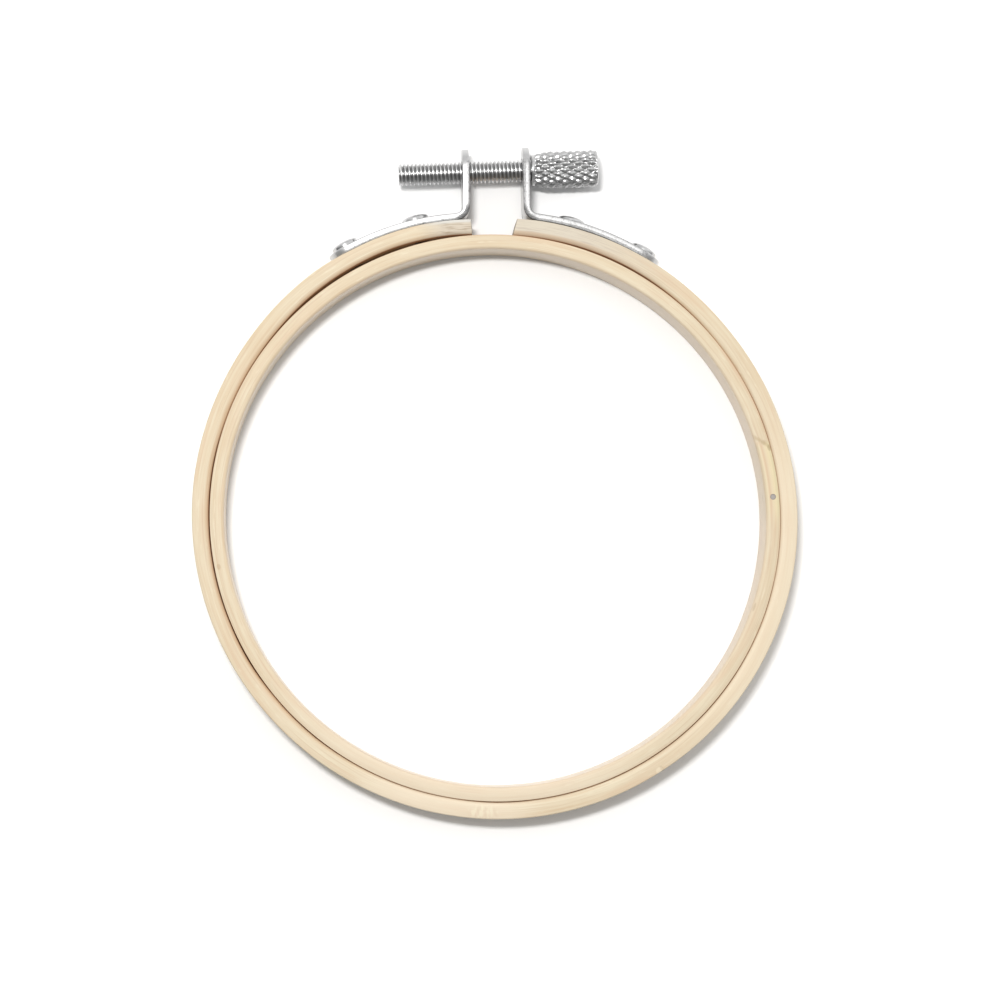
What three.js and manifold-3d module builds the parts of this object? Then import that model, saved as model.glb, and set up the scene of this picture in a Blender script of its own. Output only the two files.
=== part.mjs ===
// Embroidery hoop: two nested bamboo rings and the screw clamp that tightens the outer one.
// Millimetres, +Z up. The hoop lies flat on z = 0, with its clamp towards +Y.
import * as THREE from "three";
import { mergeVertices } from "three/addons/utils/BufferGeometryUtils.js";
import Module from "manifold-3d";

const wasm = await Module();
wasm.setup();

const { degToRad, euclideanModulo, lerp, smoothstep } = THREE.MathUtils;

// Bamboo rings
const ringHeight = 8.5;
const innerRadius = 50; // outside of the inner ring, a 10 cm hoop
const innerWall = 2.55;
const clothGap = 0.22; // room between the rings
const outerWall = 2.88;
const easedEdge = 0.45; // sanded corners of both strips
const seamEdge = 0.15; // the inner ring's outside is left sharper
const outOfRound = 0.27; // hand-bent strips are a little long on one axis
const longAxis = degToRad(153);
const ringSteps = 108;

// Split in the outer ring, measured from the middle plane to each cut end
const splitLeft = 4.27;
const splitRight = 3;
const rightCutSlant = degToRad(15); // the right end is sawn askew

// The strip springs off the inner ring a little way from each end
const leftLift = 0.5;
const leftLiftSpan = degToRad(62);
const rightLift = 0.22;
const rightLiftSpan = degToRad(52);

// It is shaved thinner on its outside as far as the straps reach. Angles are from the
// middle plane.
const leftShave = 0.28;
const rightShave = 0.12;
const shaveUntil = degToRad(27);
const shaveGone = degToRad(38);

// Brad through the lap of the inner ring
const bradRadius = 0.5;
const bradLength = 7.3;
const bradPoint = 1.2;
const bradSink = 0.05;
const bradFit = 0.2;
const bradInset = 1.12; // from the inner ring's outside to the brad's middle
const bradAngle = degToRad(4.2);

// Brackets: a strap on the ring and an ear for the screw, bent from one strip
const strapThickness = 1.2;
const strapWidth = 8.2;
const strapGap = 0.1; // between a strap and the ring's outside
const strapEdge = 0.15;
const bendRadius = 1.25; // inside the bend
const leftSetback = 0.54; // from the cut end of the ring to the ear
const rightSetback = 1.76;
const earLean = degToRad(1); // both ears lean to the left
const earReach = 4.1; // from the screw's axis to an ear's tip
const endReach = 3.45; // from the far rivet to a strap's rounded end
const bendSteps = 6;
const roundSteps = 6;
const roundStart = degToRad(9); // rounded ends begin with a short straight edge
const strapSteps = 9;

// Rivets
const nearRivetLeft = degToRad(15.05); // from the middle plane, round the ring
const nearRivetRight = degToRad(14.35);
const farRivet = degToRad(29);
const rivetShank = 1.2;
const rivetHead = 2.4;
const rivetRise = 1;
const rivetRim = 0.12;
const rivetTail = 1.8;
const tailThickness = 0.4;
const tailSink = 0.15; // tails lie below the ring's inner face, clear of the cloth
const rivetFit = 0.2;
const seatGap = 0.08;
const domeSteps = 4;
const roundSides = 16;

// Screw, a rolled M4 thread
const knobRoom = 4.04; // under the knob, down to the straps
const screwTilt = degToRad(2.4); // the right ear stands a little further out
const threadPitch = 0.7;
const threadMajor = 1.95;
const threadMinor = 1.57;
const threadFit = 0.25;
const threadBeyond = 11.2; // past the left ear
const threadSides = 12;
const crestShare = 0.15; // of the pitch
const rootAt = 0.575;

// Knurled knob, closed at its far end and pressed over the rod's plain end
const knobLength = 12;
const knobRadius = 3.3;
const knobNose = 2.75; // radius at the end that bears on the ear
const noseLength = 3;
const knobCorner = 0.6;
const knobFace = 2.45; // radius of the flat end faces
const knobFit = 0.2;
const knobShoulder = 0.35; // running gap to the right ear
const knobWall = 1.2; // behind the rod's end
const plainRadius = 1.7;
const plainTip = 0.4;
const knurlStarts = 16;
const knurlPitch = 2.4; // along the axis
const knurlDepth = 0.36;
const knurlMargin = 0.5;

const bamboo = new THREE.MeshStandardMaterial({ color: 0xeddcbd, roughness: 0.6 });
const innerBamboo = new THREE.MeshStandardMaterial({ color: 0xf0dfc0, roughness: 0.6 });
const platedStrip = new THREE.MeshStandardMaterial({ color: 0xe2e3e6, roughness: 0.25, metalness: 1 });
const platedRivet = new THREE.MeshStandardMaterial({ color: 0xd0d2d6, roughness: 0.25, metalness: 1 });
const screwSteel = new THREE.MeshStandardMaterial({ color: 0xb4b6b9, roughness: 0.3, metalness: 1 });
const bradSteel = new THREE.MeshStandardMaterial({ color: 0x8f9194, roughness: 0.5, metalness: 1 });

const middleZ = ringHeight / 2;
const quarterTurn = Math.PI / 2;
const weldDistance = 1e-4;
const through = 1; // how far a cutter runs past what it cuts

// Faces that join rows of points, all of one length, each row closed on itself.
// Rows run so that a row is counter-clockwise seen from the row after it.
function rowFaces(rows, closed) {
  const count = rows[0].length;
  const faces = [];
  const strips = closed ? rows.length : rows.length - 1;
  for (let row = 0; row < strips; row++) {
    const here = row * count;
    const there = ((row + 1) % rows.length) * count;
    for (let k = 0; k < count; k++) {
      const next = (k + 1) % count;
      faces.push(here + k, here + next, there + next, here + k, there + next, there + k);
    }
  }
  return faces;
}

// Fans that close the first and last row.
function endFans(rows) {
  const count = rows[0].length;
  const last = (rows.length - 1) * count;
  const faces = [];
  for (let k = 1; k < count - 1; k++) {
    faces.push(0, k + 1, k, last, last + k, last + k + 1);
  }
  return faces;
}

// Geometry with coinciding points welded, without the faces that collapse.
function weld(points, faces) {
  const geometry = new THREE.BufferGeometry().setFromPoints(points);
  geometry.setIndex(faces);
  const merged = mergeVertices(geometry, weldDistance);
  const index = Array.from(merged.index.array);
  const kept = [];
  for (let i = 0; i < index.length; i += 3) {
    const [a, b, c] = index.slice(i, i + 3);
    if (a !== b && b !== c && c !== a) kept.push(a, b, c);
  }
  merged.setIndex(kept);
  return merged;
}

function loft(rows, closed = false) {
  const faces = rowFaces(rows, closed);
  if (!closed) faces.push(...endFans(rows));
  return weld(rows.flat(), faces);
}

function toManifold(geometry, matrix = new THREE.Matrix4()) {
  const bare = geometry.clone().applyMatrix4(matrix);
  bare.deleteAttribute("normal");
  bare.deleteAttribute("uv");
  const merged = mergeVertices(bare, weldDistance);
  return new wasm.Manifold(
    new wasm.Mesh({
      numProp: 3,
      vertProperties: merged.attributes.position.array,
      triVerts: new Uint32Array(merged.index.array),
    }),
  );
}

function toGeometry(manifold) {
  const mesh = manifold.getMesh();
  const geometry = new THREE.BufferGeometry();
  geometry.setAttribute("position", new THREE.BufferAttribute(mesh.vertProperties, 3));
  geometry.setIndex(new THREE.BufferAttribute(mesh.triVerts, 1));
  geometry.computeVertexNormals();
  return geometry;
}

function cut(geometry, cutters) {
  const left = cutters.reduce((solid, cutter) => solid.subtract(cutter), toManifold(geometry));
  return toGeometry(left);
}

// Cylinder from one point to another.
function rodBetween(start, end, radius) {
  const along = end.clone().sub(start);
  const turn = new THREE.Quaternion().setFromUnitVectors(
    new THREE.Vector3(0, 1, 0),
    along.clone().normalize(),
  );
  const place = new THREE.Matrix4().compose(
    start.clone().addScaledVector(along, 0.5),
    turn,
    new THREE.Vector3(1, 1, 1),
  );
  return toManifold(new THREE.CylinderGeometry(radius, radius, along.length(), roundSides), place);
}

function named(name, geometry, material) {
  const mesh = new THREE.Mesh(geometry, material);
  mesh.name = name;
  return mesh;
}

// Radii of the rings at an angle from +X
const oval = (angle) => outOfRound * Math.cos(2 * (angle - longAxis));
const innerOutside = (angle) => innerRadius + oval(angle);
const innerInside = (angle) => innerOutside(angle) - innerWall;
const leftEnd = quarterTurn + Math.asin(splitLeft / (innerRadius + clothGap));
const rightEnd = quarterTurn - Math.asin(splitRight / (innerRadius + clothGap));

// Nothing at either end of a span, and 1 a third of the way along it
function spring(fromEnd, span) {
  const share = Math.min(euclideanModulo(fromEnd, 2 * Math.PI) / span, 1);
  return (27 / 4) * share * (1 - share) ** 2;
}

function outerInside(angle) {
  const lift =
    leftLift * spring(angle - leftEnd, leftLiftSpan) +
    rightLift * spring(rightEnd - angle, rightLiftSpan);
  return innerOutside(angle) + clothGap + lift;
}

function wallAt(angle) {
  const shaved = (lean) =>
    1 - smoothstep(euclideanModulo(lean, 2 * Math.PI), shaveUntil, shaveGone);
  return (
    outerWall - leftShave * shaved(angle - quarterTurn) - rightShave * shaved(quarterTurn - angle)
  );
}
const outerOutside = (angle) => outerInside(angle) + wallAt(angle);

// Section of a bent strip at an angle, its four corners eased.
function stripSection(angle, inside, outside, outsideEdge, shear = 0) {
  const corners = [
    [inside + easedEdge, 0],
    [inside, easedEdge],
    [inside, ringHeight - easedEdge],
    [inside + easedEdge, ringHeight],
    [outside - outsideEdge, ringHeight],
    [outside, ringHeight - outsideEdge],
    [outside, outsideEdge],
    [outside - outsideEdge, 0],
  ];
  return corners.map(([radius, z]) => {
    const turned = angle - (shear * (radius - inside)) / radius;
    return new THREE.Vector3(radius * Math.cos(turned), radius * Math.sin(turned), z);
  });
}

function innerRing() {
  const rows = [];
  for (let i = 0; i < ringSteps; i++) {
    const angle = (i / ringSteps) * 2 * Math.PI;
    rows.push(stripSection(angle, innerInside(angle), innerOutside(angle), seamEdge));
  }
  const { foot, top } = bradLine();
  const hole = rodBetween(
    foot.clone().setZ(foot.z - bradFit),
    top.clone().setZ(ringHeight + through),
    bradRadius + bradFit,
  );
  return cut(loft(rows, true), [hole]);
}

// The brad stands in the inner ring's wall, its head flush with the top.
function bradLine() {
  const radius = innerOutside(bradAngle) - bradInset;
  const top = new THREE.Vector3(
    radius * Math.cos(bradAngle),
    radius * Math.sin(bradAngle),
    ringHeight - bradSink,
  );
  return { top, foot: top.clone().setZ(top.z - bradLength) };
}

function brad() {
  const profile = [
    [0, 0],
    [bradRadius, bradPoint],
    [bradRadius, bradLength],
    [0, bradLength],
  ].map(([x, y]) => new THREE.Vector2(x, y));
  const mesh = named("inner_ring_pin", new THREE.LatheGeometry(profile, roundSides), bradSteel);
  mesh.rotation.x = quarterTurn;
  mesh.position.copy(bradLine().foot);
  return mesh;
}

// Places on the clamp: `side` is -1 on the left and 1 on the right, and `lean` is the angle
// round the ring from the middle plane towards that side.
const ringAngle = (side, lean) => quarterTurn - side * lean;
const outward = (side, lean) => new THREE.Vector3(side * Math.sin(lean), Math.cos(lean), 0);
const strapRadius = (side, lean) =>
  outerOutside(ringAngle(side, lean)) + strapGap + strapThickness / 2;
// From the rings' centre to the screw's axis, in the middle plane
const screwDistance =
  innerRadius + clothGap + outerWall + strapGap + strapThickness + knobRoom + knobRadius;
const earDistance = (side) =>
  (side < 0 ? splitLeft + leftSetback : splitRight + rightSetback) + strapThickness / 2;
const holeHeight = (side) => screwDistance + side * earDistance(side) * Math.tan(screwTilt);

function rivetHole(side, lean, from, to, radius) {
  const along = outward(side, lean);
  const inside = outerInside(ringAngle(side, lean));
  const at = (depth) => along.clone().multiplyScalar(inside + depth).setZ(middleZ);
  return rodBetween(at(from), at(to), radius);
}

const rivetPlaces = [
  { name: "rivet_left_near", side: -1, lean: nearRivetLeft },
  { name: "rivet_left_far", side: -1, lean: farRivet },
  { name: "rivet_right_near", side: 1, lean: nearRivetRight },
  { name: "rivet_right_far", side: 1, lean: farRivet },
];

function outerRing() {
  const rows = [];
  const span = rightEnd + 2 * Math.PI - leftEnd;
  for (let i = 0; i <= ringSteps; i++) {
    const angle = leftEnd + (i / ringSteps) * span;
    const shear = i === ringSteps ? Math.tan(rightCutSlant) : 0;
    rows.push(stripSection(angle, outerInside(angle), outerOutside(angle), easedEdge, shear));
  }
  const tailRoom = tailSink + tailThickness + rivetFit;
  const holes = rivetPlaces.flatMap(({ side, lean }) => [
    rivetHole(side, lean, -through, outerWall + through, rivetShank + rivetFit),
    rivetHole(side, lean, -through, tailRoom, rivetTail + rivetFit),
  ]);
  return cut(loft(rows), holes);
}

// Points and normals along the middle of a bracket's strip, from the strap's rounded end
// to the ear's rounded tip, with the strip's half width at each.
function bracketLine(side) {
  const half = strapWidth / 2;
  const bend = bendRadius + strapThickness / 2;
  const line = [];
  const onStrap = (lean, width) => {
    const normal = outward(side, lean);
    line.push({ at: normal.clone().multiplyScalar(strapRadius(side, lean)), normal, width });
  };
  const straight = earDistance(side) + bend;
  const bendReach = strapRadius(side, straight / innerRadius) + bend;
  const drop = holeHeight(side) - bendReach;
  const bendLean = Math.asin((straight + side * drop * Math.tan(earLean)) / bendReach);
  const centre = outward(side, bendLean).multiplyScalar(bendReach);

  const rounds = [];
  for (let i = 0; i <= roundSteps; i++) {
    const turn = lerp(roundStart, quarterTurn, i / roundSteps);
    const inset = i === 0 ? 0 : half * (1 - Math.cos(turn));
    rounds.push({ inset, width: half * Math.sin(turn) });
  }
  const endLean = farRivet + endReach / strapRadius(side, farRivet);
  for (const { inset, width } of rounds) {
    onStrap(endLean - inset / strapRadius(side, farRivet), width);
  }
  for (let i = 1; i <= strapSteps; i++) {
    const straightStart = endLean - half / strapRadius(side, farRivet);
    onStrap(lerp(straightStart, bendLean, i / strapSteps), half);
  }
  const earTurn = quarterTurn - side * earLean;
  for (let i = 1; i <= bendSteps; i++) {
    const normal = outward(side, lerp(bendLean, earTurn, i / bendSteps));
    line.push({ at: centre.clone().addScaledVector(normal, -bend), normal, width: half });
  }
  const normal = outward(side, earTurn);
  const upEar = new THREE.Vector3(-side * normal.y, side * normal.x, 0);
  const foot = line.at(-1).at;
  const length = holeHeight(side) + earReach - foot.y;
  for (const { inset, width } of rounds.reverse()) {
    line.push({ at: foot.clone().addScaledVector(upEar, length - inset), normal, width });
  }
  return line;
}

function bracket(side) {
  const rows = bracketLine(side).map(({ at, normal, width }) => {
    const face = strapThickness / 2;
    const edge = Math.min(strapEdge, width / 2);
    const corners = [
      [-face, -width + edge],
      [-face, width - edge],
      [-face + edge, width],
      [face - edge, width],
      [face, width - edge],
      [face, -width + edge],
      [face - edge, -width],
      [-face + edge, -width],
    ];
    return corners.map(([out, z]) => at.clone().addScaledVector(normal, out).setZ(middleZ + z));
  });
  if (side < 0) rows.reverse();
  const onAxis = (x) =>
    new THREE.Vector3(x, screwDistance + x * Math.tan(screwTilt), middleZ);
  const ear = side * earDistance(side);
  const holes = [rodBetween(onAxis(ear - through), onAxis(ear + through), threadMajor + threadFit)];
  for (const { lean } of rivetPlaces.filter((place) => place.side === side)) {
    const wall = wallAt(ringAngle(side, lean));
    const end = wall + strapGap + strapThickness + through;
    holes.push(rivetHole(side, lean, wall, end, rivetShank + rivetFit));
  }
  return cut(loft(rows), holes);
}

// Domed head outside the strap, shank, and a set tail sunk in the ring's inner face.
function rivetGeometry(wall) {
  const headSeat = wall + strapGap + strapThickness + seatGap;
  const profile = [
    [0, tailSink],
    [rivetTail, tailSink],
    [rivetTail, tailSink + tailThickness],
    [rivetShank, tailSink + tailThickness],
    [rivetShank, headSeat],
    [rivetHead, headSeat],
  ];
  for (let i = 0; i <= domeSteps; i++) {
    const turn = (i / domeSteps) * quarterTurn;
    profile.push([
      rivetHead * Math.cos(turn),
      headSeat + rivetRim + (rivetRise - rivetRim) * Math.sin(turn),
    ]);
  }
  profile.at(-1)[0] = 0;
  const points = profile.map(([x, y]) => new THREE.Vector2(x, y));
  return new THREE.LatheGeometry(points, roundSides);
}

// The screw's own frame: its axis is X, and x = 0 is in the hoop's middle plane.
const rodStart = -(earDistance(-1) + strapThickness / 2 + threadBeyond);
const knobStart = earDistance(1) + strapThickness / 2 + knobShoulder;
const rodEnd = knobStart + knobLength - knobWall - knobFit;

// Right-hand thread as a skewed grid: each column of points is one pitch share further on.
function rodGeometry() {
  const profile = [
    [0, threadMajor],
    [crestShare, threadMajor],
    [rootAt, threadMinor],
  ];
  const turns = Math.ceil((knobStart - rodStart) / threadPitch) + 1;
  const fade = (x) => {
    const fromEnds = Math.min(x - rodStart, knobStart - x);
    return smoothstep(fromEnds, 0, threadPitch);
  };
  const rows = [];
  for (let turn = -1; turn <= turns; turn++) {
    for (const [share, radius] of profile) {
      const row = [];
      for (let side = 0; side <= threadSides; side++) {
        const run = rodStart + threadPitch * (turn + share + side / threadSides);
        const x = Math.min(Math.max(run, rodStart), knobStart);
        const size = lerp(threadMinor, radius, fade(x));
        const angle = (side / threadSides) * 2 * Math.PI;
        row.push(new THREE.Vector3(x, size * Math.cos(angle), size * Math.sin(angle)));
      }
      rows.push(row);
    }
  }
  const faces = [];
  const count = threadSides + 1;
  for (let row = 0; row < rows.length - 1; row++) {
    for (let k = 0; k < threadSides; k++) {
      const here = row * count + k;
      const there = here + count;
      faces.push(here, here + 1, there + 1, here, there + 1, there);
    }
  }
  const plain = [
    [knobStart, plainRadius],
    [rodEnd - plainTip, plainRadius],
    [rodEnd, plainRadius - plainTip],
  ];
  const points = rows.flat();
  let before = points.length - count;
  for (const [x, size] of plain) {
    const start = points.length;
    for (let side = 0; side <= threadSides; side++) {
      const angle = (side / threadSides) * 2 * Math.PI;
      points.push(new THREE.Vector3(x, size * Math.cos(angle), size * Math.sin(angle)));
    }
    for (let k = 0; k < threadSides; k++) {
      faces.push(before + k, before + k + 1, start + k + 1, before + k, start + k + 1, start + k);
    }
    before = start;
  }
  for (let k = 1; k < threadSides - 1; k++) {
    faces.push(0, k + 1, k, before, before + k, before + k + 1);
  }
  return weld(points, faces);
}

// Radius of the knob's outline, before its grooves, at a distance from its nose.
function knobOutline(x) {
  const body = lerp(knobNose, knobRadius, smoothstep(x, 0, noseLength));
  const fromEnd = Math.max(knobCorner - (knobLength - x), 0);
  return body - knobCorner + Math.sqrt(knobCorner ** 2 - fromEnd ** 2);
}

// Crossed knurl: grooves meet at every other point of a grid, and a low pyramid stands
// on the points between them.
function knobGeometry() {
  const columns = 2 * knurlStarts;
  const knurlLength = knobLength - 2 * knurlMargin;
  const bands = Math.round((2 * knurlLength) / knurlPitch);
  const rows = [];
  const ring = (x, radiusAt) => {
    const row = [];
    for (let k = 0; k < columns; k++) {
      const angle = (k / columns) * 2 * Math.PI;
      const radius = radiusAt(k);
      row.push(
        new THREE.Vector3(knobStart + x, radius * Math.cos(angle), radius * Math.sin(angle)),
      );
    }
    rows.push(row);
  };
  ring(0, () => knobFace);
  for (let band = 0; band <= bands; band++) {
    const x = knurlMargin + (band / bands) * knurlLength;
    const high = (k) => (band + k) % 2 === 1 && band > 0 && band < bands;
    ring(x, (k) => knobOutline(x) - (high(k) ? 0 : knurlDepth));
  }
  ring(knobLength, () => knobFace);

  // Each grid face is split along the groove that crosses it.
  const faces = [];
  for (let row = 0; row < rows.length - 1; row++) {
    for (let k = 0; k < columns; k++) {
      const next = (k + 1) % columns;
      const [a, b] = [row * columns + k, row * columns + next];
      const [c, d] = [b + columns, a + columns];
      if ((row + k) % 2 === 1) faces.push(a, b, c, a, c, d);
      else faces.push(b, c, d, b, d, a);
    }
  }
  faces.push(...endFans(rows));
  const bore = rodBetween(
    new THREE.Vector3(knobStart - through, 0, 0),
    new THREE.Vector3(knobStart + knobLength - knobWall, 0, 0),
    plainRadius + knobFit,
  );
  return cut(weld(rows.flat(), faces), [bore]);
}

const hoop = new THREE.Group();
hoop.add(named("inner_ring", innerRing(), innerBamboo));
hoop.add(brad());
hoop.add(named("outer_ring", outerRing(), bamboo));
hoop.add(named("bracket_left", bracket(-1), platedStrip));
hoop.add(named("bracket_right", bracket(1), platedStrip));

for (const { name, side, lean } of rivetPlaces) {
  const angle = ringAngle(side, lean);
  const rivet = named(name, rivetGeometry(wallAt(angle)), platedRivet);
  rivet.rotation.z = -side * lean;
  const seat = outward(side, lean).multiplyScalar(outerInside(angle));
  rivet.position.copy(seat.setZ(middleZ));
  hoop.add(rivet);
}

const screw = new THREE.Group();
screw.add(named("screw_rod", rodGeometry(), screwSteel));
screw.add(named("screw_knob", knobGeometry(), screwSteel));
screw.position.set(0, screwDistance, middleZ);
screw.rotation.z = screwTilt;
hoop.add(screw);

// The origin is under the middle of the hoop's whole outline.
const earTip = holeHeight(1) + earReach;
const ringFoot = outerOutside(-quarterTurn);
hoop.position.y = (ringFoot - earTip) / 2;

const part = new THREE.Group();
part.add(hoop);
export default part;
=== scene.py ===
# %% [markdown]
# # Embroidery hoop
#
# A small bamboo embroidery hoop lies flat on a white table and is seen from above. Two bent
# bamboo rings sit one inside the other. The outer one is split, and a screw through two steel
# brackets pulls its ends together to grip the cloth.
#
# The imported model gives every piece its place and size. It is loaded first and stays as it is,
# and each detailed piece below is built where its solid is, in metres.

import math
from functools import partialmethod

import bmesh
import bpy
from mathutils import Matrix, Vector
from mathutils.noise import noise


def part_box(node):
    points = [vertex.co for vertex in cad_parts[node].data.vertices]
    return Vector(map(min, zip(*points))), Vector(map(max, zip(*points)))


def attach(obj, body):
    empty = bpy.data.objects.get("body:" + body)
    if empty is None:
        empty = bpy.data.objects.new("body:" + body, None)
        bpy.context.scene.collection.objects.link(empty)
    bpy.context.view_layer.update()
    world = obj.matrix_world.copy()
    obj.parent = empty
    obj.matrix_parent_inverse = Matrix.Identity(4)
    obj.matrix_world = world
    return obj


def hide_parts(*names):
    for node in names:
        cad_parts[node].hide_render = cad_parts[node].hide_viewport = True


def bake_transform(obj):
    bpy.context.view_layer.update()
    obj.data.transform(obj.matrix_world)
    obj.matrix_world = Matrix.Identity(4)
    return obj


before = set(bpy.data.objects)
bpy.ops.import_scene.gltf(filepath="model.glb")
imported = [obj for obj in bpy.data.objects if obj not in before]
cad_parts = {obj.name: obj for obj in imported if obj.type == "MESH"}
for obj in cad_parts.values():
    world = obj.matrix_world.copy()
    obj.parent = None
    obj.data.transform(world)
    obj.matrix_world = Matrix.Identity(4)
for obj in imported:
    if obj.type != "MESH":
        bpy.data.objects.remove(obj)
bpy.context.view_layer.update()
MM = 0.001
print("packed nodes", sorted(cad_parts))

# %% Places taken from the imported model
ring_low, ring_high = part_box("inner_ring")
RING_CENTRE = Vector(((ring_low.x + ring_high.x) / 2, (ring_low.y + ring_high.y) / 2, 0))
RING_HEIGHT = ring_high.z / MM
MIDDLE_Z = RING_HEIGHT / 2
print("rings' centre", [round(v, 5) for v in RING_CENTRE], "height in mm", round(RING_HEIGHT, 3))

# %% [markdown]
# ## The camera
#
# A product photograph like this is taken with a camera on a stand above the table. Its foot is
# left of and below the rings' centre, so a little of the inner wall shows along the right and
# the top. The focal length comes from the real size: 5.7 pixels of the 1000 pixel picture
# stand for one millimetre at the rings' upper faces.

# %% Camera
PICTURE_SIDE = 1000
PIXELS_PER_MM = 5.6974
CAMERA_OFFSET = Vector((-24.5, -25.0, 480)) * MM
AIM_OFFSET = Vector((0.615, 2.88, 0)) * MM
SENSOR_WIDTH = 36.0


def turned_back(back):
    """A turn with Z along the line of sight backwards, and +Y as nearly up as it allows."""
    right = Vector((0, 1, 0)).cross(back).normalized()
    return Matrix((right, back.cross(right), back)).transposed().to_4x4()


def stand(name, data, place, back):
    """Stands a camera or a lamp at a place, looking away from a direction."""
    obj = bpy.data.objects.new(name, data)
    obj.matrix_world = Matrix.Translation(place) @ turned_back(back.normalized())
    bpy.context.scene.collection.objects.link(obj)
    return obj


ring_top = RING_CENTRE + Vector((0, 0, RING_HEIGHT * MM))
sight = AIM_OFFSET - CAMERA_OFFSET
lens = bpy.data.cameras.new("camera")
lens.sensor_width = SENSOR_WIDTH
lens.lens = SENSOR_WIDTH * PIXELS_PER_MM / MM * sight.length / PICTURE_SIDE
lens.clip_start, lens.clip_end = 0.01, 10
camera = stand("camera", lens, ring_top + CAMERA_OFFSET, -sight)
bpy.context.scene.camera = camera
print("camera at", [round(v, 4) for v in camera.matrix_world.translation])
print("lens in mm", round(lens.lens, 2))

# %% [markdown]
# ## Nodes and colours
#
# Every material below is a small network of nodes. One helper turns the sRGB hex colours of a
# colour picker into the linear values that a shader works with. Another adds a node and gives
# its output as a value. Sums with such a value, such as depth * 2, add Math nodes themselves.


# %% Helpers for colours and values
def colour(hex_code):
    """An sRGB colour such as "#d9cbb2" as the linear red, green, blue and alpha of a shader."""
    shares = [int(hex_code[i : i + 2], 16) / 255 for i in (1, 3, 5)]
    linear = [s / 12.92 if s <= 0.04045 else ((s + 0.055) / 1.055) ** 2.4 for s in shares]
    return (*linear, 1.0)


class Value:
    """A node's output. Python's operators on it add Math nodes to its network."""

    def __init__(self, socket):
        self.socket = socket

    def add(self, kind, inputs, **settings):
        return add_node(self.socket.id_data, kind, {0: self, **inputs}, **settings)

    def calculate(self, operation, *others):
        return self.add("ShaderNodeMath", dict(enumerate(others, 1)), operation=operation)

    __add__ = partialmethod(calculate, "ADD")
    __sub__ = partialmethod(calculate, "SUBTRACT")
    __mul__ = partialmethod(calculate, "MULTIPLY")
    __truediv__ = partialmethod(calculate, "DIVIDE")
    __abs__ = partialmethod(calculate, "ABSOLUTE")


def set_inputs(node, inputs):
    """Joins each value to its input, or sets the input to a plain number or colour."""
    for key, value in inputs.items():
        if isinstance(value, Value):
            node.id_data.links.new(value.socket, node.inputs[key])
        else:
            node.inputs[key].default_value = value


def add_node(tree, kind, inputs=None, output=0, **settings):
    """Adds a node to a network and gives one of its outputs."""
    node = tree.nodes.new(kind)
    for name, value in settings.items():
        setattr(node, name, value)
    set_inputs(node, inputs or {})
    return Value(node.outputs[output])


# %% Helpers for materials
def fade(value, start, end, low=0.0, high=1.0, shape="SMOOTHSTEP"):
    """Goes from low to high while a value goes from start to end."""
    inputs = {"From Min": start, "From Max": end, "To Min": low, "To Max": high}
    return value.add("ShaderNodeMapRange", inputs, interpolation_type=shape)


def colour_ramp(value, tones):
    """A colour for each value, from places with their hex colours or plain greys."""
    ramp = value.add("ShaderNodeValToRGB", {})
    stops = ramp.socket.node.color_ramp.elements
    stops[0].position, stops[1].position = tones[0][0], tones[-1][0]
    for position, _ in tones[1:-1]:
        stops.new(position)
    for stop, (_, tone) in zip(stops, tones):
        stop.color = colour(tone) if isinstance(tone, str) else (tone, tone, tone, 1)
    return ramp


def axes_of(place):
    """The X, Y and Z of a place, each as a value."""
    x = place.add("ShaderNodeSeparateXYZ", {})
    return [Value(output) for output in x.socket.node.outputs]


def new_material(name):
    material = bpy.data.materials.new(name)
    material.use_nodes = True
    return material, material.node_tree, material.node_tree.nodes["Principled BSDF"]


def dress(obj, material):
    obj.data.materials.clear()
    obj.data.materials.append(material)


# %% [markdown]
# ## The table and the light
#
# The picture is an overexposed white sweep. One lamp hangs 0.65 m above the table, behind
# and to the left of the hoop, and gives every piece a short shadow towards the lower right.
# Its distance shows in the shadows, which are longer at the bottom of the hoop than at the top.
# It is wider than it is deep, so shadows to the right are softer than shadows to the front.
#
# The rest of the light comes from the room. Bare steel shows what the room looks like, so the
# sky is brighter behind the hoop, as from a window or reflector, and darker on the
# photographer's side. It is also a little brighter to the right than to the left. A gradient
# on the direction of each ray paints it.

# %% Floor
FLOOR_SIZE = 4
bpy.ops.mesh.primitive_plane_add(size=FLOOR_SIZE)
floor = bpy.context.object
floor.name = "floor"
paper, _, shader = new_material("matt_white_paper")
matt = {"Base Color": colour("#f4f4f4"), "Roughness": 0.9, "Specular IOR Level": 0.0}
set_inputs(shader, matt)
dress(floor, paper)

# %% Lamp
LAMP_PLACE = Vector((-102, 105, 650)) * MM
LAMP_WIDTH, LAMP_DEPTH = 125 * MM, 62 * MM
LAMP_POWER = 3.16
lamp_data = bpy.data.lights.new("lamp", "AREA")
lamp_data.shape = "ELLIPSE"
lamp_data.size, lamp_data.size_y = LAMP_WIDTH, LAMP_DEPTH
lamp_data.energy = LAMP_POWER
lamp_data.color = (1.0, 0.99, 0.975)
lamp = stand("lamp", lamp_data, RING_CENTRE + LAMP_PLACE, LAMP_PLACE)
print("lamp", [round(v, 3) for v in lamp.matrix_world.translation])

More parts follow.
